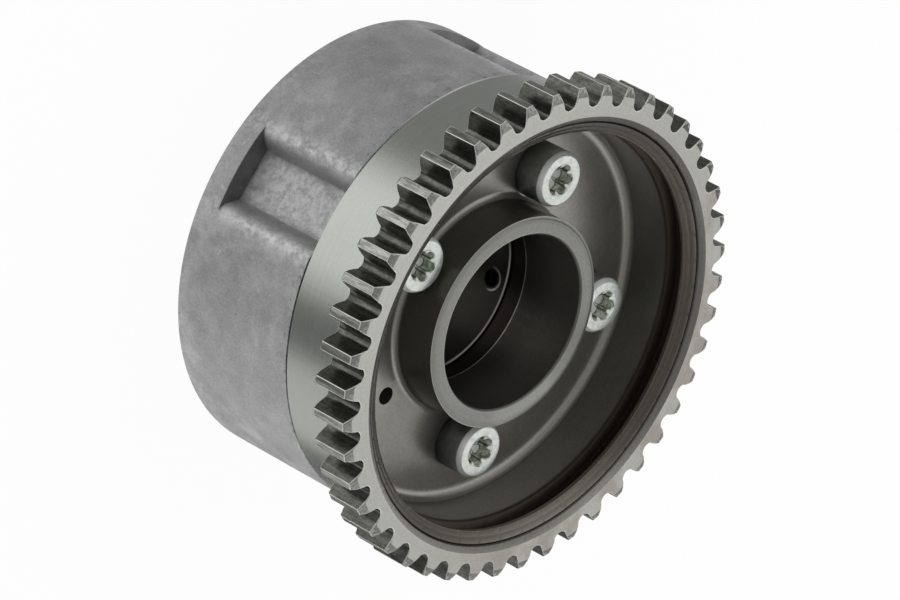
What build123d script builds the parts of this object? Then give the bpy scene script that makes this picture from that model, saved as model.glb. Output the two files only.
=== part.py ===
from build123d import *
from math import acos, asin, atan2, cos, degrees, pi, radians, sin, sqrt, tan
import os

# Cam phaser, millimetres. Z runs along the camshaft axis from the plain rear face of the housing
# (z = 0) to the machined front face of the drive gear. X points at the wide gap between the
# cover screws, where the lock pin's vane sits. Angles are in degrees about Z.

# Housing: a die-cast cup with four inward lobes
housing_radius = 40.0
housing_length = 27.9
rear_wall = 5.0
rear_rim_chamfer = 0.5
housing_wall = 5.5
chamber_corner_radius = 1.5
rear_opening_radius = 18.4
lobe_angles = (-60.1, 60.7, 144.8, 220.3)
lobe_half_angle = 15.0
wide_lobe_side_angle = 26.3

# Outside pockets, one over each lobe, open towards the gear
pocket_depth = 4.1
pocket_floor_width = 9.4
pocket_mouth_width = 15.0
pocket_mouth_rounding = 2.2
pocket_floor_rounding = 0.7

# Drive gear: toothed rim, dished web and hub tube in one steel piece
web_thickness = 4.8
gear_length = 20.2
gear_face_width = 8.0
seam_chamfer = 0.2
tooth_count = 46
tooth_phase = 5.03
pressure_angle = 20.0
tooth_root_step = 1.74
tooth_height = 3.49
tooth_addendum = 1.875
root_round_height = 0.5
tooth_chamfer_width = 1.65
tooth_chamfer_depth = 0.55
tooth_rear_chamfer = 0.3

# Inner side of the toothed rim, from the front face inwards
rim_face_width = 1.87
lip_width = 3.42
lip_depth = 2.05
lip_land = 0.7
lip_groove_undercut = 1.65
lip_groove_end = 5.6
lip_groove_taper = 0.6
score_line_inset = 1.22
score_line_width = 0.3
dish_step = 0.25
dish_fillet = 1.8

# Hub tube
hub_radius = 19.4
hub_bore_radius = 16.0
hub_face_depth = 6.6
hub_fillet = 1.2
hub_rim_bevel_width = 1.1
hub_rim_bevel_depth = 0.12
hub_bore_chamfer = 0.35

# Cover screws, six-lobed socket, standing on the web
screw_circle_radius = 25.35
screw_angles = (-60.6, 60.7, 144.8, 220.0)
screw_radius = 3.0
screw_length = 25.0
screw_head_radius = 5.05
screw_head_height = 5.9
screw_head_chamfer = 0.55
socket_tip_radius = 2.8
socket_flute_radius = 1.2
socket_waist_radius = 2.03
socket_depth = 3.0
screw_hole_clearance = 0.3
spot_face_clearance = 0.2
thread_clearance = 0.02
thread_run_out = 1.2

# Locating dowels between the housing and the gear
dowel_radius = 1.5
dowel_length = 8.0
dowel_inset = 2.75
dowel_angles = (2.0, 182.0)
dowel_clearance = 0.01
dowel_chamfer = 0.3
dowel_hole_margin = 0.3

# Rotor: a hub with one wide and three narrow vanes
rotor_hub_radius = 20.0
rotor_bore_radius = 16.0
rotor_side_clearance = 0.03
rotor_tip_clearance = 0.05
rotor_recess_radius = 16.6
rotor_recess_depth = 3.9
rotor_bore_chamfer = 0.3
spigot_recess = 0.3
vane_angle = 12.0
wide_vane_angle = 46.0
vane_corner_radius = 2.0
vane_stop_gap = 1.75
wide_vane_stop_gap = 0.1
rotor_travel = 30.0
timing_slot_width = 4.0
timing_slot_depth = 2.5

# Oil ways in the rotor, one row for each side of the vanes
oil_hole_radius = 1.5
oil_hole_offset = 12.5
oil_row_advance = 20.6
oil_row_retard = 11.0
oil_pocket_depth = 0.8
oil_pocket_height = 5.0
oil_pocket_angle = 15.5

# Vane seals, each pushed out by a bowed leaf spring
seal_width = 2.0
seal_height = 2.6
seal_clearance = 0.02
seal_end_clearance = 0.05
seal_slot_depth = 3.5
leaf_width = 1.6
leaf_thickness = 0.2
leaf_end_margin = 1.0
leaf_clearance = 0.02

# Lock pin, held back inside the wide vane, and what it locks into
lock_angle = 5.9
lock_pin_radius = 4.0
lock_nose_radius = 3.0
lock_nose_chamfer = 0.4
lock_pin_clearance = 0.04
lock_pin_travel = 3.5
lock_nose_setback = 0.25
lock_step_height = 7.0
lock_rim_gap = 2.59
lock_pocket_radius = 2.9
lock_pocket_floor = 1.5
lock_cap_radius = 4.5
lock_cap_thickness = 2.0
lock_cap_setback = 0.25
lock_cap_hole_radius = 1.2
lock_bush_radius = 4.2
lock_bush_inset = 1.0
lock_bush_length = 4.0
lock_hole_clearance = 0.08
lock_spring_wire = 0.6
lock_spring_radius = 2.2
lock_spring_turns = 6
press_clearance = 0.01

# Vent for the lock pin's spring side
vent_radius = 1.6
vent_groove_width = 2.4
vent_groove_depth = 0.8

# How far a cutter runs past what it cuts, how far two joined solids run into each other, and
# how close a corner lies to the place it is looked for at
overrun = 1.0
rim_overlap = 0.3
near = 0.01

# Heights and radii worked out from the sizes above
front_face = housing_length + gear_length
web_front = housing_length + web_thickness
teeth_rear = front_face - gear_face_width
hub_face = front_face - hub_face_depth
rotor_rear = rear_wall + rotor_side_clearance
rotor_front = housing_length - rotor_side_clearance
lock_cap_low = rotor_front - lock_cap_setback - lock_cap_thickness
chamber_radius = housing_radius - housing_wall
pocket_floor_radius = housing_radius - pocket_depth
root_radius = housing_radius + tooth_root_step
tip_radius = root_radius + tooth_height
pitch_radius = tip_radius - tooth_addendum
mouth_radius = root_radius - rim_face_width
score_line_radius = mouth_radius - score_line_inset
lip_radius = mouth_radius - lip_width
lip_groove_radius = lip_radius + lip_groove_undercut
dish_radius = lip_radius - dish_step
dowel_circle_radius = housing_radius - dowel_inset
lock_circle_radius = rear_opening_radius + lock_bush_inset + lock_bush_radius
vane_tip_radius = chamber_radius - rotor_tip_clearance
lobe_tip_radius = rotor_hub_radius + rotor_tip_clearance
wide_vane_end = lobe_angles[1] - wide_lobe_side_angle - wide_vane_stop_gap


def on_circle(radius, angle, z=0.0):
    return Vector(radius * cos(radians(angle)), radius * sin(radians(angle)), z)


def turned_to(angle, shape):
    return Rotation(0, 0, angle) * shape


def upright(radius, z_low, z_high, centre=(0, 0)):
    height = z_high - z_low
    cylinder = Cylinder(radius, height, align=(Align.CENTER, Align.CENTER, Align.MIN))
    return Pos(centre[0], centre[1], z_low) * cylinder


def turning(points):
    """A solid of revolution about Z from (radius, height) points."""
    return revolve(Plane.XZ * make_face(Polyline(*points, close=True)), Axis.Z)


def sector(inner, outer, start, end, corner=0.0):
    """A flat ring sector between two angles, with rounded outer corners."""
    middle = (start + end) / 2
    outline = [
        ThreePointArc(on_circle(inner, end), on_circle(inner, middle), on_circle(inner, start)),
        Line(on_circle(inner, start), on_circle(outer, start)),
        ThreePointArc(on_circle(outer, start), on_circle(outer, middle), on_circle(outer, end)),
        Line(on_circle(outer, end), on_circle(inner, end)),
    ]
    face = Sketch() + make_face(outline)
    if corner > 0:
        tips = [v for v in face.vertices() if Vector(v.X, v.Y).length > (inner + outer) / 2]
        face = fillet(tips, corner)
    return face


def chamber_limits():
    """Start and end angles of the four oil chambers; the first one takes the wide vane."""
    wide_start = wide_vane_end - wide_vane_angle - rotor_travel - wide_vane_stop_gap
    wide_end = wide_vane_end + wide_vane_stop_gap
    limits = [(wide_start, wide_end)]
    for before, after in zip(lobe_angles[1:], lobe_angles[2:] + (lobe_angles[0] + 360,)):
        limits.append((before + lobe_half_angle, after - lobe_half_angle))
    return limits


def vane_limits():
    """Start and end angles of the vanes with the rotor on its rest stop."""
    limits = [(wide_vane_end - wide_vane_angle, wide_vane_end)]
    for start, end in chamber_limits()[1:]:
        limits.append((end - vane_stop_gap - vane_angle, end - vane_stop_gap))
    return limits


def pocket_outline(angle):
    """Cross-section of an outside pocket: a flat floor with sloping sides."""
    over = housing_radius + overrun
    slope = (pocket_mouth_width - pocket_floor_width) / 2 / (housing_radius - pocket_floor_radius)
    half_floor = pocket_floor_width / 2
    half_mouth = half_floor + slope * (over - pocket_floor_radius)
    corners = [
        (pocket_floor_radius, -half_floor),
        (pocket_floor_radius, half_floor),
        (over, half_mouth),
        (over, -half_mouth),
    ]
    return turned_to(angle, make_face(Polyline(*corners, close=True)))


def housing_wall_outline():
    """The housing's section above its rear wall, seen along Z."""
    outline = Sketch() + Circle(housing_radius)
    for angle in lobe_angles:
        outline -= pocket_outline(angle)
    mouth = [v for v in outline.vertices() if Vector(v.X, v.Y).length > housing_radius - near]
    mouth = [v for v in mouth if is_near_pocket(v)]
    outline = fillet(mouth, pocket_mouth_rounding)
    floor = [v for v in outline.vertices() if is_floor_corner(v)]
    outline = fillet(floor, pocket_floor_rounding)
    outline -= Circle(lobe_tip_radius)
    for start, end in chamber_limits():
        outline -= sector(lobe_tip_radius - overrun, chamber_radius, start, end, chamber_corner_radius)
    return outline


def is_near_pocket(vertex):
    """True for a corner where a pocket's side meets the round outside."""
    half_width = degrees(asin(pocket_mouth_width / housing_radius))
    angle = degrees(atan2(vertex.Y, vertex.X))
    turn = [(angle - lobe + 180) % 360 - 180 for lobe in lobe_angles]
    return any(abs(t) < half_width for t in turn)


def is_floor_corner(vertex):
    """True for a corner at the edge of a pocket's flat floor."""
    corner = sqrt(pocket_floor_radius ** 2 + (pocket_floor_width / 2) ** 2)
    return abs(Vector(vertex.X, vertex.Y).length - corner) < near


def lock_seat(angle, radius):
    """A blind hole in the rear wall for the lock pin's nose."""
    centre = on_circle(lock_circle_radius, angle)
    return upright(radius, rear_wall - lock_bush_length, rear_wall + overrun, (centre.X, centre.Y))


def housing_rear_wall():
    wall = turning([
        (rear_opening_radius, 0),
        (housing_radius - rear_rim_chamfer, 0),
        (housing_radius, rear_rim_chamfer),
        (housing_radius, rear_wall),
        (rear_opening_radius, rear_wall),
    ])
    wall -= lock_seat(lock_angle, lock_bush_radius + press_clearance)
    return wall - lock_seat(lock_angle - rotor_travel, lock_nose_radius + lock_hole_clearance)


def housing_side_wall():
    wall = Pos(0, 0, rear_wall) * extrude(housing_wall_outline(), housing_length - rear_wall)
    wall -= turning([
        (housing_radius - seam_chamfer, housing_length),
        (housing_radius + overrun, housing_length),
        (housing_radius + overrun, housing_length - seam_chamfer),
        (housing_radius, housing_length - seam_chamfer),
    ])
    thread_end = web_front - screw_length - thread_run_out
    for angle in screw_angles:
        centre = on_circle(screw_circle_radius, angle)
        radius = screw_radius + thread_clearance
        wall -= upright(radius, thread_end, housing_length + overrun, (centre.X, centre.Y))
    for angle in dowel_angles:
        wall -= dowel_hole(angle)
    return wall


def housing():
    return housing_side_wall() + housing_rear_wall()


def dowel_hole(angle):
    centre = on_circle(dowel_circle_radius, angle)
    half = dowel_length / 2 + dowel_hole_margin
    radius = dowel_radius + dowel_clearance
    return upright(radius, housing_length - half, housing_length + half, (centre.X, centre.Y))


def locating_dowel(angle):
    centre = on_circle(dowel_circle_radius, angle)
    low = housing_length - dowel_length / 2
    pin = upright(dowel_radius, low, low + dowel_length, (centre.X, centre.Y))
    return chamfer(pin.edges().filter_by(GeomType.CIRCLE), dowel_chamfer)


def flank_angle(radius):
    """Half of a tooth's angle at a radius, in radians, from the involute of the base circle."""
    base_radius = pitch_radius * cos(radians(pressure_angle))
    at_pitch = tan(radians(pressure_angle)) - radians(pressure_angle)
    slope = acos(base_radius / radius)
    return pi / (2 * tooth_count) + at_pitch - (tan(slope) - slope)


def tooth_outline():
    """The closed outline of all the gear's teeth, with rounded spaces between them."""
    flank_start = root_radius + root_round_height
    steps = 4
    radii = [flank_start + (tip_radius - flank_start) * i / steps for i in range(steps + 1)]
    pitch = 360 / tooth_count
    edges = []
    for tooth in range(tooth_count):
        middle = tooth_phase + tooth * pitch
        rising = [on_circle(r, middle - degrees(flank_angle(r))) for r in radii]
        falling = [on_circle(r, middle + degrees(flank_angle(r))) for r in reversed(radii)]
        space = on_circle(root_radius, middle + pitch / 2)
        following = on_circle(flank_start, middle + pitch - degrees(flank_angle(flank_start)))
        edges.append(Spline(*rising))
        edges.append(ThreePointArc(rising[-1], on_circle(tip_radius, middle), falling[0]))
        edges.append(Spline(*falling))
        edges.append(ThreePointArc(falling[-1], space, following))
    return make_face(edges)


def toothed_ring():
    inner = (mouth_radius + root_radius) / 2 - rim_overlap
    outer = tip_radius + near
    teeth = Pos(0, 0, teeth_rear) * extrude(tooth_outline(), gear_face_width)
    blank = turning([
        (inner, teeth_rear),
        (tip_radius - tooth_rear_chamfer, teeth_rear),
        (outer, teeth_rear + tooth_rear_chamfer),
        (outer, front_face - tooth_chamfer_depth),
        (tip_radius - tooth_chamfer_width, front_face),
        (inner, front_face),
    ])
    return teeth & blank


def corner_of(face, radius, height):
    return [v for v in face.vertices() if abs(v.X - radius) < near and abs(v.Y - height) < near]


def gear_section():
    """Half section of the rim, web and hub tube, as (radius, height) points."""
    rim = (mouth_radius + root_radius) / 2 + rim_overlap
    slope = lip_depth / (mouth_radius - lip_radius)
    score = score_line_width / 2
    score_height = front_face - slope * (mouth_radius - score_line_radius)
    groove_end = front_face - lip_groove_end
    face = make_face(Polyline(
        (hub_bore_radius, housing_length),
        (housing_radius - seam_chamfer, housing_length),
        (housing_radius, housing_length + seam_chamfer),
        (housing_radius, teeth_rear),
        (rim, teeth_rear),
        (rim, front_face),
        (mouth_radius, front_face),
        (score_line_radius + score, score_height + slope * score),
        (score_line_radius, score_height - 2 * score),
        (score_line_radius - score, score_height - slope * score),
        (lip_radius, front_face - lip_depth),
        (lip_radius, front_face - lip_depth - lip_land),
        (lip_groove_radius, front_face - lip_depth - lip_land),
        (lip_groove_radius, groove_end + lip_groove_taper),
        (dish_radius, groove_end),
        (dish_radius, web_front),
        (hub_radius, web_front),
        (hub_radius, hub_face - hub_rim_bevel_depth),
        (hub_radius - hub_rim_bevel_width, hub_face),
        (hub_bore_radius + hub_bore_chamfer, hub_face),
        (hub_bore_radius, hub_face - hub_bore_chamfer),
        close=True,
    ))
    face = Sketch() + face
    face = fillet(corner_of(face, dish_radius, web_front), dish_fillet)
    return fillet(corner_of(face, hub_radius, web_front), hub_fillet)


def vent():
    """The vent hole and the arc on the web's rear face that keeps it open over the travel."""
    centre = on_circle(lock_circle_radius, lock_angle)
    low = housing_length - overrun
    hole = upright(vent_radius, low, web_front + overrun, (centre.X, centre.Y))
    inner = lock_circle_radius - vent_groove_width / 2
    arc = sector(inner, inner + vent_groove_width, lock_angle - rotor_travel, lock_angle)
    groove = Pos(0, 0, low) * extrude(arc, overrun + vent_groove_depth)
    return hole + groove


def drive_gear():
    body = revolve(Plane.XZ * gear_section(), Axis.Z) + toothed_ring()
    for angle in screw_angles:
        centre = on_circle(screw_circle_radius, angle)
        radius = screw_radius + screw_hole_clearance
        at = (centre.X, centre.Y)
        body -= upright(radius, housing_length - overrun, web_front + overrun, at)
        spot_face = screw_head_radius + spot_face_clearance
        body -= upright(spot_face, web_front, web_front + max(dish_fillet, hub_fillet), at)
    for angle in dowel_angles:
        body -= dowel_hole(angle)
    return body - vent()


def socket():
    """The six-lobed driving recess, seen along the screw's axis."""
    outline = Sketch() + Circle(socket_tip_radius)
    for flute in range(6):
        centre = on_circle(socket_waist_radius + socket_flute_radius, 30 + 60 * flute)
        outline -= Pos(centre.X, centre.Y) * Circle(socket_flute_radius)
    return outline


def cover_screw(angle):
    shank_chamfer = screw_radius / 4
    turned = turning([
        (0, -screw_length),
        (screw_radius - shank_chamfer, -screw_length),
        (screw_radius, shank_chamfer - screw_length),
        (screw_radius, 0),
        (screw_head_radius, 0),
        (screw_head_radius, screw_head_height - screw_head_chamfer),
        (screw_head_radius - screw_head_chamfer, screw_head_height),
        (0, screw_head_height),
    ])
    recess = Pos(0, 0, screw_head_height - socket_depth) * extrude(socket(), socket_depth + overrun)
    centre = on_circle(screw_circle_radius, angle, web_front)
    return Pos(centre.X, centre.Y, centre.Z) * (turned - recess)


def seal_slot(angle):
    """The slot in a vane's tip that holds its seal and leaf spring."""
    width = seal_width + 2 * seal_clearance
    bottom = vane_tip_radius - seal_slot_depth
    depth = seal_slot_depth + overrun
    length = rotor_front - rotor_rear + 2 * overrun
    slot = Box(depth, width, length, align=(Align.MIN, Align.CENTER, Align.MIN))
    return turned_to(angle, Pos(bottom, 0, rotor_rear - overrun) * slot)


def seal_angles():
    """The middle of each narrow vane, and as far from the wide vane's end, clear of its lock pin."""
    return [end - vane_angle / 2 for start, end in vane_limits()]


def oil_way(angle, height):
    """A radial hole through the rotor's hub."""
    drill = Cylinder(oil_hole_radius, rotor_hub_radius - rotor_bore_radius + 2 * overrun)
    middle = (rotor_hub_radius + rotor_bore_radius) / 2
    return turned_to(angle, Pos(middle, 0, height) * (Rotation(0, 90, 0) * drill))


def oil_pocket(start, end, height):
    """The shallow pocket on the hub that leads from an oil way to its vane's side."""
    face = sector(rotor_hub_radius - oil_pocket_depth, lobe_tip_radius, start, end)
    return Pos(0, 0, height - oil_pocket_height / 2) * extrude(face, oil_pocket_height)


def lock_pin_bore():
    step = rotor_rear + lock_step_height
    centre = on_circle(lock_circle_radius, lock_angle)
    at = (centre.X, centre.Y)
    top = rotor_front + overrun
    nose = upright(lock_nose_radius + lock_pin_clearance, rotor_rear - overrun, step + overrun, at)
    skirt = upright(lock_pin_radius + lock_pin_clearance, step, top, at)
    seat = upright(lock_cap_radius + press_clearance, lock_cap_low, top, at)
    return nose + skirt + seat


def rotor():
    outline = Sketch() + Circle(rotor_hub_radius)
    for start, end in vane_limits():
        outline += sector(rotor_bore_radius, vane_tip_radius, start, end, vane_corner_radius)
    body = Pos(0, 0, rotor_rear) * extrude(outline, rotor_front - rotor_rear)
    body += upright(rear_opening_radius - rotor_tip_clearance, spigot_recess, rotor_rear + overrun)
    recess_floor = rotor_front - rotor_recess_depth
    body -= turning([
        (0, 0),
        (rotor_bore_radius + rotor_bore_chamfer + spigot_recess, 0),
        (rotor_bore_radius, spigot_recess + rotor_bore_chamfer),
        (rotor_bore_radius, recess_floor - rotor_bore_chamfer),
        (rotor_bore_radius + rotor_bore_chamfer, recess_floor),
        (rotor_recess_radius, recess_floor),
        (rotor_recess_radius, rotor_front + overrun),
        (0, rotor_front + overrun),
    ])
    for start, end in vane_limits():
        body -= oil_way(end + oil_hole_offset, oil_row_advance)
        body -= oil_pocket(end, end + oil_pocket_angle, oil_row_advance)
        body -= oil_way(start - oil_hole_offset, oil_row_retard)
        body -= oil_pocket(start - oil_pocket_angle, start, oil_row_retard)
    for angle in seal_angles():
        body -= seal_slot(angle)
    slot_size = (rear_opening_radius, timing_slot_width, timing_slot_depth + spigot_recess)
    body -= Box(*slot_size, align=(Align.MAX, Align.CENTER, Align.MIN))
    return body - lock_pin_bore()


def vane_seal(angle):
    """A straight bar whose outer side follows the chamber's wall."""
    face_radius = chamber_radius - seal_clearance
    length = rotor_front - rotor_rear - 2 * seal_end_clearance
    depth = seal_height + overrun
    bar = Box(depth, seal_width, length, align=(Align.MIN, Align.CENTER, Align.MIN))
    bar = Pos(face_radius - seal_height, 0, rotor_rear + seal_end_clearance) * bar
    return turned_to(angle, bar & upright(face_radius, 0, housing_length))


def vane_seal_spring(angle):
    """A bowed strip between a slot's bottom and the seal's inner side."""
    bottom = vane_tip_radius - seal_slot_depth
    top = chamber_radius - seal_clearance - seal_height - leaf_clearance
    low = rotor_rear + leaf_end_margin
    high = rotor_front - leaf_end_margin
    middle = (low + high) / 2
    outer = ThreePointArc((bottom + leaf_thickness, low), (top, middle), (bottom + leaf_thickness, high))
    inner = ThreePointArc((bottom, high), (top - leaf_thickness, middle), (bottom, low))
    ends = [
        Line((bottom + leaf_thickness, high), (bottom, high)),
        Line((bottom, low), (bottom + leaf_thickness, low)),
    ]
    strip = extrude(Plane.XZ * make_face([outer, ends[0], inner, ends[1]]), leaf_width / 2, both=True)
    return turned_to(angle, strip)


def lock_pin_heights():
    """Heights of the held-back pin's tip, shoulder, spring seat and rim."""
    tip = rotor_rear + lock_nose_setback
    shoulder = rotor_rear + lock_step_height + lock_pin_travel
    return tip, shoulder, shoulder + lock_pocket_floor, lock_cap_low - lock_rim_gap


def lock_pin():
    tip, shoulder, floor, rim = lock_pin_heights()
    pin = turning([
        (0, tip),
        (lock_nose_radius - lock_nose_chamfer, tip),
        (lock_nose_radius, tip + lock_nose_chamfer),
        (lock_nose_radius, shoulder),
        (lock_pin_radius, shoulder),
        (lock_pin_radius, rim),
        (lock_pocket_radius, rim),
        (lock_pocket_radius, floor),
        (0, floor),
    ])
    return Pos(on_circle(lock_circle_radius, lock_angle)) * pin


def lock_pin_cap():
    top = rotor_front - lock_cap_setback
    centre = on_circle(lock_circle_radius, lock_angle)
    at = (centre.X, centre.Y)
    disc = upright(lock_cap_radius, lock_cap_low, top, at)
    return disc - upright(lock_cap_hole_radius, lock_cap_low - overrun, top + overrun, at)


def lock_pin_spring():
    """A coil spring with flat ground ends, from the pin's pocket to the cap."""
    low = lock_pin_heights()[2]
    length = lock_cap_low - low
    path = Helix(length / lock_spring_turns, length, lock_spring_radius)
    start = Plane(origin=path @ 0, z_dir=path % 0)
    coil = sweep(start * Circle(lock_spring_wire / 2), path=path, is_frenet=True)
    trim = upright(lock_spring_radius + lock_spring_wire, 0, length)
    return Pos(on_circle(lock_circle_radius, lock_angle, low)) * (coil & trim)


def lock_bush():
    centre = on_circle(lock_circle_radius, lock_angle)
    at = (centre.X, centre.Y)
    low = rear_wall - lock_bush_length
    bush = upright(lock_bush_radius, low, rear_wall, at)
    hole = lock_nose_radius + lock_hole_clearance
    return bush - upright(hole, low - overrun, rear_wall + overrun, at)


def write(name, shape):
    shape = shape.clean()
    shape.label = name
    export_step(shape, os.path.join("parts", name + ".step"))


def main():
    os.makedirs("parts", exist_ok=True)
    write("housing", housing())
    write("drive_gear", drive_gear())
    write("rotor", rotor())
    for number, angle in enumerate(screw_angles, start=1):
        write(f"cover_screw_{number}", cover_screw(angle))
    for number, angle in enumerate(dowel_angles, start=1):
        write(f"locating_dowel_{number}", locating_dowel(angle))
    for number, angle in enumerate(seal_angles(), start=1):
        write(f"vane_seal_{number}", vane_seal(angle))
        write(f"vane_seal_spring_{number}", vane_seal_spring(angle))
    write("lock_pin", lock_pin())
    write("lock_pin_spring", lock_pin_spring())
    write("lock_pin_cap", lock_pin_cap())
    write("lock_bush", lock_bush())


main()
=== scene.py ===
from math import acos, atan2, cos, hypot, pi, radians, sin, tan
from types import SimpleNamespace

import bmesh
import bpy
import numpy as np
from mathutils import Matrix, Vector


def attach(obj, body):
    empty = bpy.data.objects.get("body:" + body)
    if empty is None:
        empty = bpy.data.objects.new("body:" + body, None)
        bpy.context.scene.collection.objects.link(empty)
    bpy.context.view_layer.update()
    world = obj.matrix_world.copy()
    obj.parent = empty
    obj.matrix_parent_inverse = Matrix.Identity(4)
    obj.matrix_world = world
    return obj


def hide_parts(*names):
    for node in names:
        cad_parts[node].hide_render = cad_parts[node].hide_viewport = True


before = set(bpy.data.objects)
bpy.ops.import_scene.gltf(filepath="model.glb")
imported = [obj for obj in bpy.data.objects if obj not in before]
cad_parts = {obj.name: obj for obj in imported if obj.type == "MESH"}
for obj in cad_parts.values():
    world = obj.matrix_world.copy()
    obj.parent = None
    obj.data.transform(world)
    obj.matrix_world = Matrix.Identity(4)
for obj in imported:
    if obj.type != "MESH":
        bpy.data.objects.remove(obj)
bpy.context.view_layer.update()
scene = bpy.context.scene
MM = 0.001

# Sizes and places: lengths in millimetres, turns in degrees

# Housing
HOUSING_RADIUS, HOUSING_LENGTH, REAR_WALL = 40.0, 27.9, 5.0
REAR_OPENING, LOBE_TIP, CHAMBER = 18.4, 20.05, 34.5
REAR_CHAMFER, REAR_ROUNDING, OPENING_ROUNDING = 0.5, 0.3, 0.25
CHAMBER_CORNER, CHAMBER_CORNER_TURN = 1.5, 2.5
CHAMBER_CORNER_STEPS = (-0.02, 0.0, 0.12, 0.4, 0.8, 1.3, 1.9, CHAMBER_CORNER_TURN)
LOBES = (-60.1, 60.7, 144.8, 220.3)
CHAMBERS = ((-41.8, 34.4), (75.7, 129.8), (159.8, 205.3), (235.3, 284.9))
POCKET_FLOOR, POCKET_FLOOR_WIDTH, POCKET_MOUTH_WIDTH = 35.9, 9.4, 15.0
POCKET_MOUTH_ROUNDING, POCKET_FLOOR_ROUNDING, POCKET_END_STEP = 2.2, 0.7, 0.08
SEAM_BEVEL = 0.2
WALL_HEIGHTS = (5.6, 9.0, 14.0, 19.0, 24.0, HOUSING_LENGTH - SEAM_BEVEL - 0.05)

# Drive gear
FRONT, WEB, TEETH_REAR, HUB_FACE = 48.1, 32.7, 40.1, 41.5
TEETH, TOOTH_PHASE, MODULE, PRESSURE = 46, 5.03, 1.885, radians(20)
TIP, ROOT, ROOT_ROUND = 45.23, 41.74, 0.5
TIP_CHAMFER_START, TIP_CHAMFER_DEPTH, TIP_REAR_CHAMFER = 43.58, 0.55, 0.3
TOOTH_EDGE, TIP_EDGE = 0.2, 0.12
TOOTH_FOOT, FACE_INNER, CONE_DEPTH, LIP, LIP_DEPTH = 41.0, 39.87, 2.05, 36.45, 2.75
SCORE, SCORE_HALF, SCORE_DEPTH = 38.65, 0.22, 0.35
FINE_LINE, FINE_LINE_HALF, FINE_LINE_DEPTH = 37.45, 0.1, 0.025
GROOVE, GROOVE_REAR, DISH, DISH_FRONT = 38.1, 43.1, 36.2, 42.5
DISH_CORNER, TUBE_CORNER = 1.95, 1.3
TUBE, BORE, HUB_BEVEL_START, HUB_BEVEL, BORE_BEVEL = 19.4, 16.0, 18.3, 0.12, 0.35

# Screws, dowels and holes
SCREW_CIRCLE, SCREWS = 25.35, (-60.6, 60.7, 144.8, 220.0)
SCREW_HOLE, SCREW_HOLE_FLOOR, WEB_HOLE, SPOT_FACE, SPOT_FACE_HEIGHT = 3.02, 6.5, 3.3, 5.25, 2.4
HEAD_RADIUS, HEAD_HEIGHT, HEAD_CHAMFER, HEAD_CHAMFER_HEIGHT = 5.05, 6.15, 0.5, 0.85
SHANK_RADIUS, SHANK_LENGTH, SHANK_CHAMFER = 3.0, 25.0, 0.6
SOCKET_DEPTH, SOCKET_MOUTH, SOCKET_LOBE, SOCKET_LOBE_CIRCLE, SOCKET_RIB = 2.9, 2.95, 0.9, 2.0, 2.1
SOCKET_TURNS = (14, 3.5, 25, 25.5)
VENT_CIRCLE, VENT_ANGLE, VENT_RADIUS = 23.6, 5.9, 1.6
BUSH_SEAT, NOSE_HOLE, ROTOR_TRAVEL, SEAT_FLOOR = 4.21, 3.08, 30.0, 0.99
DOWEL_CIRCLE, DOWEL_ANGLES, DOWEL_HOLE, DOWEL_REACH = 37.25, (2.0, 182.0), 1.51, 4.3
OIL_HOLES, OIL_HEIGHT, OIL_RADIUS = (46.8, 140.55, 216.05, 295.65), 20.6, 1.5
ROTOR_RECESS, ROTOR_RECESS_FLOOR = 16.6, 23.97


# Shader maths

class Signal:
    """A number that varies over a surface: sums and products of it add Math nodes."""

    def __init__(self, finish, socket):
        self.finish, self.socket = finish, socket

    def maths(self, operation, *others, clamp=False):
        settings = {"operation": operation, "use_clamp": clamp}
        return self.finish.add("ShaderNodeMath", settings, dict(enumerate((self, *others))))

    def __add__(self, other):
        return self.maths("ADD", other)

    def __sub__(self, other):
        return self.maths("SUBTRACT", other)

    def __rsub__(self, other):
        return self.finish.add("ShaderNodeMath", {"operation": "SUBTRACT"}, {0: other, 1: self})

    def __mul__(self, other):
        return self.maths("MULTIPLY", other)

    def __abs__(self):
        return self.maths("ABSOLUTE")

    __radd__, __rmul__ = __add__, __mul__

    def held(self):
        """Kept between 0 and 1."""
        return self.maths("ADD", 0.0, clamp=True)

    def ramp(self, start, end, low=0.0, high=1.0):
        """A soft step from low to high as the number goes from start to end."""
        values = {"Value": self, "From Min": start, "From Max": end, "To Min": low, "To Max": high}
        return self.finish.add("ShaderNodeMapRange", {"interpolation_type": "SMOOTHSTEP"}, values)

    def past(self, level, softness):
        """0 below a level, rising softly to 1 beyond it."""
        return self.ramp(level, level + softness)

    def short_of(self, level, softness):
        """1 below a level, falling softly to 0 beyond it."""
        return self.ramp(level, level + softness, 1.0, 0.0)

    def bump_at(self, middle, reach):
        """1 at a value, falling softly to 0 at a distance from it."""
        return abs(self - middle).ramp(0.0, reach, 1.0, 0.0)


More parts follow.
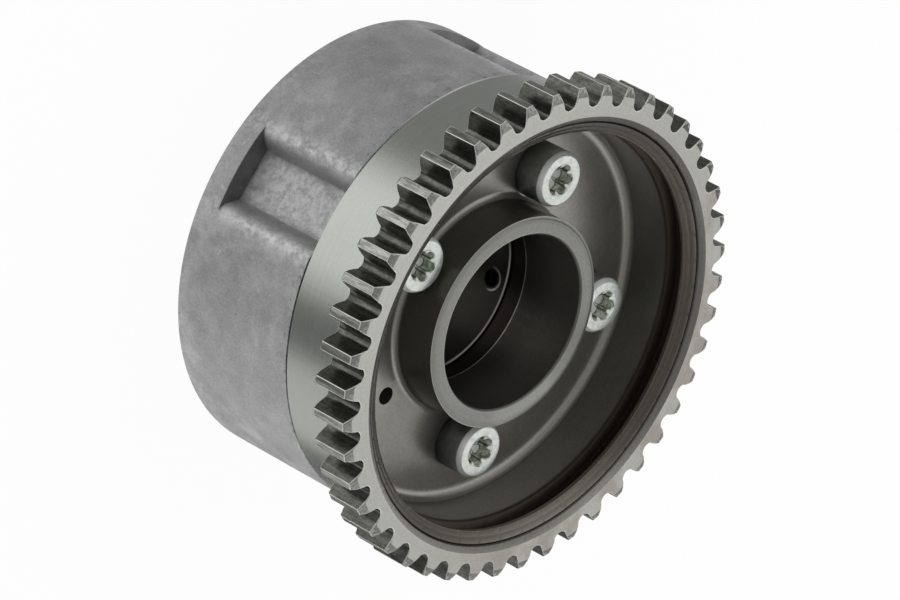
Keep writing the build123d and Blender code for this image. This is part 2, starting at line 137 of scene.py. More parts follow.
class Finish:
    """A surface finish that is put together node by node."""

    def __init__(self, name, tree=None):
        if tree is None:
            self.material = bpy.data.materials.new(name)
            self.material.use_nodes = True
            tree = self.material.node_tree
        self.tree = tree
        self.tree.nodes.clear()

    def add(self, kind, settings=None, values=None, output=None):
        """Adds one node: its settings first, then the values or links of its sockets."""
        node = self.tree.nodes.new(kind)
        for key, setting in (settings or {}).items():
            setattr(node, key, setting)
        for key, value in (values or {}).items():
            if isinstance(value, Signal):
                self.tree.links.new(value.socket, node.inputs[key])
            else:
                node.inputs[key].default_value = value
        outputs = [socket for socket in node.outputs if socket.enabled]
        if not outputs:
            return node
        return Signal(self, node.outputs[output] if output else outputs[0])

    def place(self):
        """Where a point of the piece is, in metres in the shared frame."""
        return self.add("ShaderNodeTexCoord", output="Object")

    def split(self, vector):
        return [self.add("ShaderNodeSeparateXYZ", {}, {0: vector}, axis) for axis in "XYZ"]

    def join(self, x, y, z):
        return self.add("ShaderNodeCombineXYZ", {}, {"X": x, "Y": y, "Z": z})

    def length(self, x, y, z):
        return self.add("ShaderNodeVectorMath", {"operation": "LENGTH"}, {0: self.join(x, y, z)}, "Value")

    def along(self, vector, where):
        """How far a direction points the way of another, as the cosine between them."""
        settings = {"operation": "DOT_PRODUCT"}
        return self.add("ShaderNodeVectorMath", settings, {0: vector, 1: where}, "Value")

    def noise(self, vector, scale, detail=3.0, roughness=0.5, distortion=0.0):
        values = {"Vector": vector, "Scale": scale, "Detail": detail, "Roughness": roughness,
                  "Distortion": distortion}
        return self.add("ShaderNodeTexNoise", {}, values, "Fac")

    def marked(self, name):
        """The number that mark() stored for each point of a piece."""
        return self.add("ShaderNodeAttribute", {"attribute_name": name}, {}, "Fac")

    def mix(self, factor, first, second, blend="MIX"):
        """A colour between two colours."""
        settings = {"data_type": "RGBA", "blend_type": blend, "clamp_factor": True}
        factor_in, first_in, second_in, colour_out = 0, 6, 7, 2
        values = {factor_in: factor, first_in: rgba(first), second_in: rgba(second)}
        return self.add("ShaderNodeMix", settings, values, colour_out)

    def bump(self, height, distance, strength):
        values = {"Height": height, "Distance": distance, "Strength": strength}
        return self.add("ShaderNodeBump", {}, values)

    def surface(self, colour, metallic, roughness, normal):
        """Ends the finish with its shader."""
        values = {"Base Color": colour, "Metallic": metallic, "Roughness": roughness, "Normal": normal}
        shader = self.add("ShaderNodeBsdfPrincipled", {}, values)
        self.add("ShaderNodeOutputMaterial", {}, {"Surface": shader})
        return self.material


def rgba(value):
    return (*value, 1.0) if isinstance(value, tuple) else value


def polar(finish):
    """Distance from the axis and height in millimetres, and the angle in radians."""
    x, y, z = finish.split(finish.place())
    return finish.length(x, y, 0.0) * 1000.0, z * 1000.0, y.maths("ARCTAN2", x)


# Finishes, with their colours in linear light

def cast_finish():
    """Die-cast skin: grey, cloudy, with a fine grain, worn edges lightened by a painted highlight, hair
    scratches and specks, painted shade in the pockets and a painted highlight on the seam's edge.
    """
    cast = Finish("cast_skin")
    place = cast.place()
    distance, height, angle = polar(cast)
    turn = angle.maths("DEGREES")
    clouds = cast.noise(place, 95.0, 5.0, 0.55)
    smears = cast.noise(place, 240.0, 6.0, 0.62)
    patches = cast.noise(place, 700.0, 6.0, 0.75)
    grain = cast.noise(place, 2600.0, 4.0, 0.7)
    streaks = cast.noise(place, 55.0, 4.0, distortion=1.6)
    hair_paths = cast.noise(place, 210.0, 1.0, distortion=3.0)
    specks = cast.add("ShaderNodeTexVoronoi", {}, {"Vector": place, "Scale": 300.0}, "Distance")

    # Worn, smoother metal at the pocket mouths, pocket floors and rear rim, also lightened as a painted
    # highlight
    worn_and_highlit = (cast.marked("worn_and_highlit") * patches.ramp(0.36, 0.62)).held()
    hairs = hair_paths.bump_at(0.5, 0.012) * patches.ramp(0.50, 0.60)
    pitted = specks.ramp(0.05, 0.13, 1.0, 0.0) * smears.ramp(0.56, 0.66)
    near_seam = height.ramp(HOUSING_LENGTH - 2.7, HOUSING_LENGTH - 0.4) * patches.ramp(0.54, 0.62)
    open_seam = turn.bump_at(-40.0, 60.0) * patches.ramp(0.30, 0.50) * 0.85 + 0.1
    seam_edge = height.past(HOUSING_LENGTH - 0.24, 0.1) * distance.past(CHAMBER + 0.5, 1.0)
    # Painted highlight along the seam's edge on one side
    seam_highlight = seam_edge * turn.bump_at(-106.0, 26.0)

    tone = 0.322 + (clouds - 0.5) * 0.14 + (smears - 0.5) * 0.20 + (grain - 0.5) * 0.28
    tone = tone + streaks.ramp(0.52, 0.60) * smears.ramp(0.42, 0.54) * 0.045
    colour = cast.mix(tone.held(), (0.0, 0.0, 0.0), (0.985, 0.985, 0.99))
    # Painted highlight on the worn pocket mouths, pocket floors and rear rim
    colour = cast.mix(worn_and_highlit * 0.6, colour, (0.74, 0.74, 0.74))
    colour = cast.mix((hairs * 0.3).held(), colour, (0.8, 0.8, 0.8))
    dark = pitted * 0.55 + near_seam * 0.5 + seam_edge * open_seam
    colour = cast.mix(dark.held(), colour, (0.05, 0.05, 0.052))
    # Painted shade on the pockets' end and side walls, strongest in the pocket by screw 1
    colour = cast.mix(cast.marked("pocket_shade") * 0.62, colour, (0.035, 0.035, 0.036))
    colour = cast.mix(seam_highlight * 0.9, colour, (0.85, 0.85, 0.84))
    uneven = grain * 0.6 + smears * 1.4 + patches * 0.5 + pitted * -0.6
    roughness = 0.55 - worn_and_highlit * 0.14 + (smears - 0.5) * 0.2
    return cast.surface(colour, 0.55, roughness, cast.bump(uneven, 0.00007, 0.55))


def gear_signals(steel):
    """What the gear's finish depends on: place, slope and noises, then its zones as masks."""
    here = SimpleNamespace()
    place = steel.place()
    here.distance, here.height, angle = polar(steel)
    here.turn = angle.maths("DEGREES")
    here.level = steel.split(steel.add("ShaderNodeTexCoord", output="Normal"))[2]
    around = steel.join(here.distance * 7.0, here.height * 7.0, angle * 0.8)
    across_teeth = steel.join(angle * 110.0, here.height * 0.3, here.distance * 2.4)
    here.rings = steel.noise(around, 1.0, 3.0, 0.65)
    here.cloud = steel.noise(place, 120.0, 4.0, 0.6)
    here.blotch = steel.noise(place, 900.0, 6.0, 0.7)
    here.grain = steel.noise(place, 2400.0, 2.0, 0.5)
    here.speckle = steel.noise(place, 1900.0, 5.0, 0.75)
    here.along_teeth = steel.noise(across_teeth, 1.0, 3.0, 0.6)

    upright = 1.0 - here.level.ramp(0.80, 0.93)
    here.band = here.distance.past(HOUSING_RADIUS - 0.3, 0.2) * here.height.short_of(TEETH_REAR - 0.1, 0.1)
    here.flanks = here.distance.ramp(TOOTH_FOOT, TOOTH_FOOT + 0.7) * upright
    here.tip_lands = here.distance.ramp(TIP - 0.13, TIP - 0.05) * upright
    here.face = here.height.past(FRONT - 0.9, 0.4) * here.level.ramp(0.975, 0.99)
    here.face = here.face * here.distance.past(FACE_INNER - 0.37, 0.4)
    here.cone = here.distance.past(SCORE - 0.2, 0.15) * here.distance.short_of(FACE_INNER - 0.02, 0.1)
    here.cone = here.cone * here.height.past(FRONT - 1.6, 0.5)
    here.tint = here.distance.short_of(SCORE - 0.15, 0.15) * here.height.past(FRONT - 2.9, 0.2)
    here.tint = here.tint * here.distance.past(DISH, 0.2)
    here.groove = here.height.past(DISH_FRONT - 1.0, 0.7) * here.height.short_of(FRONT - 2.85, 0.15)
    here.groove = here.groove * here.distance.past(DISH - 0.3, 0.2)
    here.groove = here.groove * here.distance.short_of(GROOVE + 0.3, 0.3)
    here.dish = here.distance.short_of(DISH + 0.05, 0.35) * here.height.short_of(DISH_FRONT - 0.1, 0.3)
    here.tube = here.distance.short_of(TUBE + 0.1, 0.2) * here.level.short_of(0.3, 0.3)
    here.bore = here.distance.short_of(BORE + 0.1, 0.2)
    return here


def band_and_face_colours(steel, here):
    """The satin band, and the machined front face, stained at its lower right."""
    stained = here.turn.ramp(22.92, 63.03) * here.cloud.ramp(0.38, 0.60)
    beside_teeth = here.height.ramp(TEETH_REAR - 1.5, TEETH_REAR - 0.1)
    beside_teeth = beside_teeth * here.distance.short_of(HOUSING_RADIUS + 0.2, 0.3)
    beside_teeth = beside_teeth * here.distance.past(HOUSING_RADIUS - 0.2, 0.1)
    colour = steel.mix(here.cloud, (0.53, 0.555, 0.51), (0.61, 0.63, 0.585))
    colour = steel.mix(beside_teeth * 0.6, colour, (0.60, 0.60, 0.50))
    face = steel.mix(stained, (0.51, 0.51, 0.468), (0.41, 0.385, 0.345))
    face = steel.mix(here.turn.bump_at(-72.0, 85.0) * 0.9, face, (0.585, 0.585, 0.54))
    return steel.mix(here.face, colour, face)


def teeth_colours(steel, here, colour):
    """Dark worn flanks, paler tip lands, and tip chamfers darkened at the right by painted shade."""
    chamfer = here.distance.ramp(TIP_CHAMFER_START - 0.18, TIP_CHAMFER_START + 0.12)
    chamfer = chamfer * here.level.ramp(0.90, 0.93) * here.level.ramp(0.97, 0.985, 1.0, 0.0)
    # Painted shade on the tip chamfers, set by turn round the gear
    chamfer_shade = here.turn.ramp(0.0, 14.0) * 0.34 + here.turn.ramp(52.0, 70.0) * 0.20
    chamfer_shade = chamfer_shade + here.turn.ramp(-172.0, -92.0, 0.76, 0.0) + here.turn.ramp(145.0, 166.0, 0.0, 0.22)
    tips = steel.mix(here.speckle.ramp(0.4, 0.6), (0.26, 0.26, 0.24), (0.38, 0.38, 0.355))
    colour = steel.mix(chamfer, colour, steel.mix(chamfer_shade.held(), tips, (0.03, 0.03, 0.028)))
    worn = here.along_teeth.ramp(0.38, 0.66) * 0.4 + here.blotch.ramp(0.42, 0.62) * 0.25
    worn = (worn + here.speckle.ramp(0.50, 0.66) * 0.35).held()
    colour = steel.mix(here.flanks, colour, steel.mix(worn, (0.092, 0.094, 0.080), (0.27, 0.275, 0.245)))
    lands = steel.mix(here.along_teeth.ramp(0.34, 0.66), (0.27, 0.275, 0.25), (0.56, 0.565, 0.52))
    return steel.mix(here.tip_lands, colour, lands)


def slope_colours(steel, here, colour):
    """The cone and the heat-tinted step inside the face, with painted shade and painted highlights by turn
    round the rim.
    """
    colour = steel.mix(here.cone, colour, steel.mix(here.speckle, (0.20, 0.19, 0.165), (0.34, 0.33, 0.295)))
    colour = steel.mix(here.tint, colour, steel.mix(here.speckle, (0.12, 0.108, 0.088), (0.20, 0.18, 0.15)))
    # Painted shade on the cone and the tinted step, set by turn
    rim_shade = here.turn.bump_at(-148.0, 56.0) + here.turn.bump_at(-130.0, 30.0) * 0.5
    rim_shade = (rim_shade + here.tint * here.turn.bump_at(24.0, 32.0) * 1.2) * (here.cone + here.tint).held()
    colour = steel.mix((rim_shade * 0.6).held(), colour, (0.055, 0.050, 0.040))
    # Painted highlights on the cone and the tinted step, set by turn
    cone_highlight = here.turn.bump_at(-5.0, 30.0) + here.turn.bump_at(98.0, 30.0) * 0.8
    tint_highlight = here.turn.bump_at(-35.0, 30.0) * 0.6 + here.turn.bump_at(80.0, 42.0) * 0.35
    rim_highlight = (cone_highlight * here.cone + tint_highlight * here.tint) * 0.3
    colour = steel.mix(rim_highlight.held(), colour, (0.90, 0.88, 0.80))
    lip = here.distance.short_of(LIP + 0.1, 0.2) * here.height.past(FRONT - 2.6, 0.2)
    lip = lip * here.distance.past(DISH, 0.2)
    colour = steel.mix(lip * 0.8, colour, (0.24, 0.205, 0.165))
    # Painted shade in the score groove
    score = here.distance.bump_at(SCORE, 0.30) * here.height.past(FRONT - 1.7, 0.4)
    return steel.mix((score * 0.9).held(), colour, (0.02, 0.018, 0.015))


def dish_colours(steel, here, colour):
    """The dark dish with painted light on its web, wall and corner, painted shade in the groove, on the hub
    tube and down the bore, and a painted highlight at the bore's rear edge.
    """
    colour = steel.mix(here.dish, colour, steel.mix(here.cloud, (0.19, 0.185, 0.162), (0.29, 0.285, 0.253)))
    # Painted light: the upward-facing web made paler, with painted shade towards turn 22
    painted_web_light = here.dish * here.level.ramp(0.9, 0.97) * (1.0 - here.turn.bump_at(22.0, 42.0) * 0.75)
    colour = steel.mix(painted_web_light, colour, steel.mix(here.cloud, (0.33, 0.32, 0.285), (0.50, 0.49, 0.44)))
    lit_wall = here.dish * here.level.short_of(0.05, 0.10) * here.turn.bump_at(72.0, 50.0)
    colour = steel.mix(lit_wall * 0.38, colour, (0.50, 0.49, 0.44))
    # Painted highlight on the round between the dish's web and walls
    corner = here.dish * here.level.short_of(0.90, 0.09) * here.level.ramp(0.15, 0.4)
    colour = steel.mix(corner, colour, (0.54, 0.53, 0.475))
    # Painted shade in the groove under the lip
    colour = steel.mix(here.groove, colour, (0.080, 0.066, 0.050))
    # Painted shade on the hub tube's outer wall
    colour = steel.mix(here.tube, colour, (0.18, 0.172, 0.148))
    # Painted shade down the bore, darkest at the rear
    forward = here.height.ramp(HOUSING_LENGTH + 0.6, HUB_FACE - 4.5)
    bore_shade = steel.mix(forward, (0.07, 0.067, 0.056), (0.18, 0.173, 0.15))
    colour = steel.mix(here.bore, colour, bore_shade)
    # Painted highlight on the bore's rear edge
    bore_rear_highlight = here.bore * here.height.short_of(HOUSING_LENGTH + 0.15, 0.15)
    return steel.mix(bore_rear_highlight, colour, (0.5, 0.49, 0.45))


def hub_colours(steel, here, colour):
    """The hub's ground face, with painted shade on its bevel, a painted highlight round its outer edge, a
    fine dark line round it at the right and a painted highlight at the bore's mouth.
    """
    face = here.height.ramp(HUB_FACE - 0.20, HUB_FACE - 0.14)
    face = face * here.distance.short_of(TUBE + 0.2, 0.2) * here.level.ramp(0.3, 0.6)
    lower = here.turn.ramp(51.57, 63.03) * here.turn.ramp(97.40, 108.86, 1.0, 0.0)
    hub = steel.mix(lower, (0.245, 0.245, 0.225), (0.31, 0.31, 0.288))
    # Painted shade on the hub's bevel and a painted highlight on its outer edge
    bevel_shade = here.distance.past(HUB_BEVEL_START - 0.15, 0.20)
    outer_edge_highlight = here.distance.past(TUBE - 0.20, 0.12)
    hub = steel.mix(bevel_shade * 0.22, hub, (0.10, 0.10, 0.09))
    hub = steel.mix(outer_edge_highlight * 0.6, hub, (0.60, 0.60, 0.56))
    hub = steel.mix((0.10 + (here.cloud - 0.5) * 0.16).held(), hub, (0.50, 0.50, 0.47))
    hub = steel.mix(here.turn.bump_at(132.0, 26.0) * 0.30, hub, (0.10, 0.10, 0.09))
    line = here.distance.bump_at(TUBE - 0.5, 0.2) * abs(here.turn).ramp(105.0, 135.0)
    hub = steel.mix(line * 0.75, hub, (0.03, 0.03, 0.027))
    colour = steel.mix(face, colour, hub)
    # Painted highlight on the bore's mouth, strongest towards turn -70
    mouth = here.height.past(HUB_FACE - 0.45, 0.1) * here.distance.short_of(BORE + 0.45, 0.05)
    return steel.mix(mouth * here.turn.bump_at(-70.0, 90.0) * 0.8, colour, (0.62, 0.62, 0.58))


def gear_finish():
    """The gear's steel: satin band, pale machined face, dark teeth, heat-tinted rim, dark dish."""
    steel = Finish("gear_steel")
    here = gear_signals(steel)
    colour = band_and_face_colours(steel, here)
    colour = teeth_colours(steel, here, colour)
    colour = slope_colours(steel, here, colour)
    colour = dish_colours(steel, here, colour)
    colour = hub_colours(steel, here, colour)
    rough = 1.0 - here.band * 0.8
    turned = (here.rings - 0.5) * 0.35 * (1.0 - here.tint * 0.9)
    pits = here.grain.ramp(0.60, 0.66) * here.face
    tone = (0.80 + turned + (here.grain - 0.5) * 0.45 * rough - pits * 0.2).held()
    colour = steel.mix(1.0, colour, steel.mix(tone, (0.2, 0.2, 0.2), (1.0, 1.0, 1.0)), "MULTIPLY")
    # Painted highlight along the teeth's edges
    edge = steel.marked("edge")
    colour = steel.mix(edge, colour, (0.78, 0.78, 0.73))

    roughness = 0.24 + (here.cloud - 0.5) * 0.08 + here.face * 0.12 + here.flanks * 0.04
    roughness = roughness + here.dish * 0.06 + here.groove * 0.2
    uneven = here.rings * 0.7 * (1.0 - here.band * 0.7) + here.grain * 0.2 * rough
    uneven = uneven + here.along_teeth * here.flanks * 0.7
    matt = edge * 0.5 + (here.dish + here.tube + here.bore + here.tint).held() * 0.17 + here.cone * 0.25
    return steel.surface(colour, 0.95 - matt, roughness, steel.bump(uneven, 0.00002, 0.35))


def zinc_finish():
    """Bright zinc on the screws, with a green cast, mottled socket walls, painted shade at the ribs and on
    the head's side, and a near-white socket floor painted as lit.
    """
    zinc = Finish("bright_zinc")
    place = zinc.place()
    fine = zinc.noise(place, 1500.0, 4.0, 0.6)
    stains = zinc.noise(place, 900.0, 5.0, 0.7)
    socket, side, rib, floor = (zinc.marked(name) for name in ("socket", "side", "rib", "floor"))
    walls = zinc.mix(stains.ramp(0.40, 0.60), (0.24, 0.28, 0.215), (0.74, 0.80, 0.68))
    colour = zinc.mix(stains.ramp(0.35, 0.6), (0.58, 0.615, 0.575), (0.74, 0.765, 0.73))
    colour = zinc.mix(socket, colour, walls)
    # Painted light: near-white matt on the socket's floor, countersink and head shoulder
    colour = zinc.mix(floor, colour, (0.95, 0.97, 0.92))
    # Painted shade beside the ribs, at the socket's foot and on one side of its rim
    colour = zinc.mix(rib, colour, (0.035, 0.045, 0.030))
    # Painted shade on the head's side, darker downwards
    colour = zinc.mix(side, colour, zinc.mix(stains, (0.06, 0.06, 0.055), (0.11, 0.11, 0.10)))
    metallic = 0.8 - socket * 0.35 - floor * 0.7
    roughness = 0.24 + fine * 0.16 + side * 0.1
    return zinc.surface(colour, metallic, roughness, zinc.bump(fine + stains, 0.00003, 0.4))


def rotor_finish():
    """The rotor's dark sintered steel, with painted shade inside its recess and in its oil holes, and
    painted highlights on the edge of its bore and on the oil holes' bevels.
    """
    steel = Finish("rotor_steel")
    place = steel.place()
    distance, height, angle = polar(steel)
    mottle = steel.noise(place, 260.0, 4.0, 0.6)
    grain = steel.noise(place, 1600.0, 3.0, 0.6)
    tone = (0.5 + (mottle - 0.5) * 0.8 + (grain - 0.5) * 0.4).held()
    colour = steel.mix(tone, (0.10, 0.098, 0.085), (0.20, 0.197, 0.178))
    inside = distance.short_of(ROTOR_RECESS + 0.3, 0.2)
    # Painted shade inside the rotor's recess, darker still above its floor
    colour = steel.mix(inside, colour, steel.mix(tone, (0.012, 0.0115, 0.009), (0.034, 0.032, 0.027)))
    colour = steel.mix(inside * height.past(ROTOR_RECESS_FLOOR + 0.03, 0.1), colour, (0.022, 0.018, 0.014))
    # Painted highlight on the edge of the bore
    rim = height.bump_at(ROTOR_RECESS_FLOOR - 0.12, 0.2) * distance.short_of(BORE + 0.4, 0.1)
    bevel_highlights, hole_shadows = 0.0, 0.0
    for hole in OIL_HOLES:
        turn = radians(hole if hole < 180 else hole - 360)
        away = steel.length((angle - turn) * BORE, height - OIL_HEIGHT, 0.0)
        hole_shadows = away.short_of(OIL_RADIUS + 0.35, 0.1) + hole_shadows
        bevel_highlights = away.bump_at(OIL_RADIUS + 0.55, 0.3) + bevel_highlights
    bevel_highlights = bevel_highlights * height.past(OIL_HEIGHT - 0.8, 2.0)
    # Painted shadow in the oil holes' mouths
    colour = steel.mix((hole_shadows * inside).held(), colour, (0.012, 0.012, 0.010))
    # Painted highlights on the bore's edge and the oil holes' bevels
    colour = steel.mix((rim + bevel_highlights * inside * 0.6).held(), colour, (0.55, 0.54, 0.50))
    return steel.surface(colour, 0.9, 0.34 + (mottle - 0.5) * 0.12, steel.bump(grain, 0.00002, 0.3))


def plain_steel(name, light, dark, roughness):
    """Ground or drawn steel with a light mottle, for the inner pieces."""
    steel = Finish(name)
    place = steel.place()
    distance, height, angle = polar(steel)
    mottle = steel.noise(place, 260.0, 4.0, 0.6)
    grain = steel.noise(place, 1600.0, 3.0, 0.6)
    rings = steel.noise(steel.join(distance * 6.0, height * 6.0, angle * 0.5), 1.0, 2.0, 0.6)
    tone = (0.5 + (mottle - 0.5) * 0.8 + (rings - 0.5) * 0.4 + (grain - 0.5) * 0.3).held()
    normal = steel.bump(rings + grain * 0.5, 0.00002, 0.3)
    return steel.surface(steel.mix(tone, dark, light), 0.9, roughness + (mottle - 0.5) * 0.12, normal)


def seal_finish():
    """The vane seals' dark brown plastic."""
    plastic = Finish("seal_plastic")
    grain = plastic.noise(plastic.place(), 2200.0, 3.0, 0.6)
    colour = plastic.mix(grain, (0.055, 0.042, 0.03), (0.11, 0.085, 0.06))
    return plastic.surface(colour, 0.0, 0.45 + grain * 0.15, plastic.bump(grain, 0.00002, 0.4))


# Shapes

def arc(first, corner, last, rounding, steps):
    """Points of an arc that rounds the corner between two straight runs."""
    corner = np.array(corner)
    back, on = np.array(first) - corner, np.array(last) - corner
    back_length, on_length = np.linalg.norm(back), np.linalg.norm(on)
    half_turn = (pi - acos(np.clip(back @ on / back_length / on_length, -1, 1))) / 2
    reach = min(rounding * tan(half_turn), back_length / 2, on_length / 2)
    start, end = corner + back / back_length * reach, corner + on / on_length * reach
    points = []
    for share in np.linspace(0, 1, steps + 1):
        weights = np.array(((1 - share) ** 2, 2 * share * (1 - share) * cos(half_turn), share ** 2))
        points.append((weights[0] * start + weights[1] * corner + weights[2] * end) / weights.sum())
    return points


def rounded(corners):
    """A profile from (radius, height, rounding) corners, with an arc at each rounded one."""
    points = []
    for index, (radius, height, rounding) in enumerate(corners):
        if rounding == 0:
            points.append(np.array((radius, height)))
            continue
        steps = 9 if rounding > 1 else 2
        points += arc(corners[index - 1][:2], (radius, height), corners[index + 1][:2], rounding, steps)
    return points


def ring(angles, radius, height):
    """One ring of points; radius and height may vary with the angle."""
    xyz = np.broadcast_arrays(radius * np.cos(angles), radius * np.sin(angles), height)
    return np.stack(xyz, axis=1)


def skin(name, rings, loop=True):
    """A mesh from rings of points in millimetres, each joined to the next by a row of quads."""
    count = len(rings[0])
    rows = len(rings) if loop else len(rings) - 1
    row, column = np.meshgrid(np.arange(rows), np.arange(count), indexing="ij")
    following, beside = (row + 1) % len(rings), (column + 1) % count
    quads = np.stack([row * count + column, row * count + beside,
                      following * count + beside, following * count + column], axis=-1)
    mesh = bpy.data.meshes.new(name)
    mesh.from_pydata((np.concatenate(rings) * MM).tolist(), [], quads.reshape(-1, 4).tolist())
    shape = bmesh.new()
    shape.from_mesh(mesh)
    bmesh.ops.remove_doubles(shape, verts=shape.verts, dist=1e-7)
    bmesh.ops.recalc_face_normals(shape, faces=shape.faces)
    shape.to_mesh(mesh)
    shape.free()
    piece = bpy.data.objects.new(name, mesh)
    scene.collection.objects.link(piece)
    return piece


def on_circle(radius, degrees):
    return radius * cos(radians(degrees)), radius * sin(radians(degrees))


def cylinder(radius, low, high, centre, count=48):
    """A closed cutter."""
    angles = np.linspace(0, 2 * pi, count, endpoint=False)
    rings = [ring(angles, 0.0, low), ring(angles, radius, low),
             ring(angles, radius, high), ring(angles, 0.0, high)]
    cutter = skin("cutter", rings, loop=False)
    cutter.data.transform(Matrix.Translation(Vector((*centre, 0)) * MM))
    return cutter


def cylinders(radius, low, high, circle, turns, count=48):
    """A cutter at each turn of a circle round the axis."""
    return [cylinder(radius, low, high, on_circle(circle, turn), count) for turn in turns]


def cut(piece, cutters):
    """Takes the cutters out of a piece for good."""
    for cutter in cutters:
        modifier = piece.modifiers.new("cut", "BOOLEAN")
        modifier.operation, modifier.solver, modifier.object = "DIFFERENCE", "EXACT", cutter
    graph = bpy.context.evaluated_depsgraph_get()
    cut_mesh = bpy.data.meshes.new_from_object(piece.evaluated_get(graph))
    piece.modifiers.clear()
    piece.data = cut_mesh
    for cutter in cutters:
        bpy.data.objects.remove(cutter)


def dress(piece, finish, sharp):
    """Gives a piece its finish and smooth shading, with edges over an angle left sharp."""
    piece.data.materials.clear()
    piece.data.materials.append(finish)
    piece.data.shade_smooth()
    piece.data.set_sharp_from_angle(angle=radians(sharp))


def settle(piece, body, finish, node, sharp):
    """Dresses a new piece and lets it ride with its body in place of its CAD node."""
    dress(piece, finish, sharp)
    weigh = piece.modifiers.new("even_shading", "WEIGHTED_NORMAL")
    weigh.keep_sharp = True
    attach(piece, body)
    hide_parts(node)


def mark(piece, name, values):
    """Stores one number for each point of a piece, for its finish to read."""
    attribute = piece.data.attributes.new(name, "FLOAT", "POINT")
    attribute.data.foreach_set("value", np.clip(np.asarray(values, dtype=np.float32), 0, 1))


def points_of(piece):
    """A piece's points in millimetres, as three rows."""
    flat = np.zeros(len(piece.data.vertices) * 3)
    piece.data.vertices.foreach_get("co", flat)
    return flat.reshape(-1, 3).T / MM


# The housing

def pocket_side():
    """Half of a pocket's outline, from the middle of its floor out to the round of the housing."""
    slope = (POCKET_MOUTH_WIDTH - POCKET_FLOOR_WIDTH) / 2 / (HOUSING_RADIUS - POCKET_FLOOR)
    floor_corner = np.array((POCKET_FLOOR, POCKET_FLOOR_WIDTH / 2))
    along = np.array((1.0, slope)) / hypot(1, slope)
    across = np.array((-along[1], along[0]))
    base = floor_corner + across * POCKET_MOUTH_ROUNDING
    reach_along = base @ along
    beyond = base @ base - (HOUSING_RADIUS - POCKET_MOUTH_ROUNDING) ** 2
    centre = base + along * (-reach_along + (reach_along ** 2 - beyond) ** 0.5)
    touch_line = centre - across * POCKET_MOUTH_ROUNDING
    touch_round = centre / np.linalg.norm(centre) * HOUSING_RADIUS
    first_turn = atan2(*(touch_line - centre)[::-1])
    last_turn = atan2(*(touch_round - centre)[::-1])
    points = [np.array((POCKET_FLOOR, y)) for y in (0.0, 1.6, 3.2)]
    points += arc((POCKET_FLOOR, 0), floor_corner, touch_line, POCKET_FLOOR_ROUNDING, 4)
    points += [touch_line * 0.5 + points[-1] * 0.5]
    for turn in np.linspace(first_turn, last_turn, 9):
        points.append(centre + POCKET_MOUTH_ROUNDING * np.array((cos(turn), sin(turn))))
    return points


def housing_outline():
    """Angles and radii of the housing's outside above the pockets' closed ends."""
    half = pocket_side()
    pocket = [(x, -y) for x, y in reversed(half[1:])] + [(x, y) for x, y in half]
    edge = atan2(half[-1][1], half[-1][0])
    around = []
    for lobe, next_lobe in zip(LOBES, (*LOBES[1:], LOBES[0] + 360)):
        turn = Matrix.Rotation(radians(lobe), 2)
        around += [tuple(turn @ Vector(point)) for point in pocket]
        for angle in np.linspace(radians(lobe) + edge, radians(next_lobe) - edge, 40)[1:-1]:
            around.append((HOUSING_RADIUS * cos(angle), HOUSING_RADIUS * sin(angle)))
    x, y = np.array(around).T
    return np.arctan2(y, x), np.hypot(x, y)


def hollow_radius(angles):
    """The inner radius above the rear wall: the rotor's room, with four chambers round it."""
    turn = np.degrees(angles)
    radius = np.full(len(angles), LOBE_TIP)
    hair = 1e-6
    for start, end in CHAMBERS:
        along = (turn - start + hair) % 360
        span = end - start
        side = np.minimum(along, span - along + 2 * hair)
        ease = np.maximum(0, 1 - side / CHAMBER_CORNER_TURN)
        corner = CHAMBER - CHAMBER_CORNER * (1 - np.sqrt(np.maximum(0, 1 - ease ** 2)))
        radius = np.where(along <= span + 2 * hair, corner, radius)
    return radius


def housing_rings():
    """The housing's skin, from the rear opening round the outside and down the hollow."""
    outline, radii = housing_outline()
    outline = outline % (2 * pi)
    order = np.argsort(outline)
    corners = [side + way * step for start, end in CHAMBERS for side, way in ((start, 1), (end, -1))
               for step in CHAMBER_CORNER_STEPS]
    angles = np.sort(np.concatenate([outline, np.radians(corners) % (2 * pi)]))
    radii = np.interp(angles, outline[order], radii[order], period=2 * pi)
    pocket = radii < HOUSING_RADIUS - 0.005
    hollow = hollow_radius(angles)
    rings = [ring(angles, radius, height) for radius, height in rounded([
        (REAR_OPENING, REAR_WALL, 0), (REAR_OPENING, 0, OPENING_ROUNDING),
        (HOUSING_RADIUS - REAR_CHAMFER, 0, REAR_ROUNDING), (HOUSING_RADIUS, REAR_CHAMFER, REAR_ROUNDING),
        (HOUSING_RADIUS, REAR_WALL - POCKET_END_STEP, 0)])]
    rings += [ring(angles, HOUSING_RADIUS - POCKET_END_STEP * pocket, REAR_WALL),
              ring(angles, radii, REAR_WALL + 0.02 * pocket)]
    rings += [ring(angles, radii, height) for height in WALL_HEIGHTS]
    return rings + [ring(angles, radii - SEAM_BEVEL / 4, HOUSING_LENGTH - SEAM_BEVEL / 2),
                    ring(angles, radii - SEAM_BEVEL, HOUSING_LENGTH),
                    ring(angles, hollow, HOUSING_LENGTH), ring(angles, hollow, REAR_WALL)]


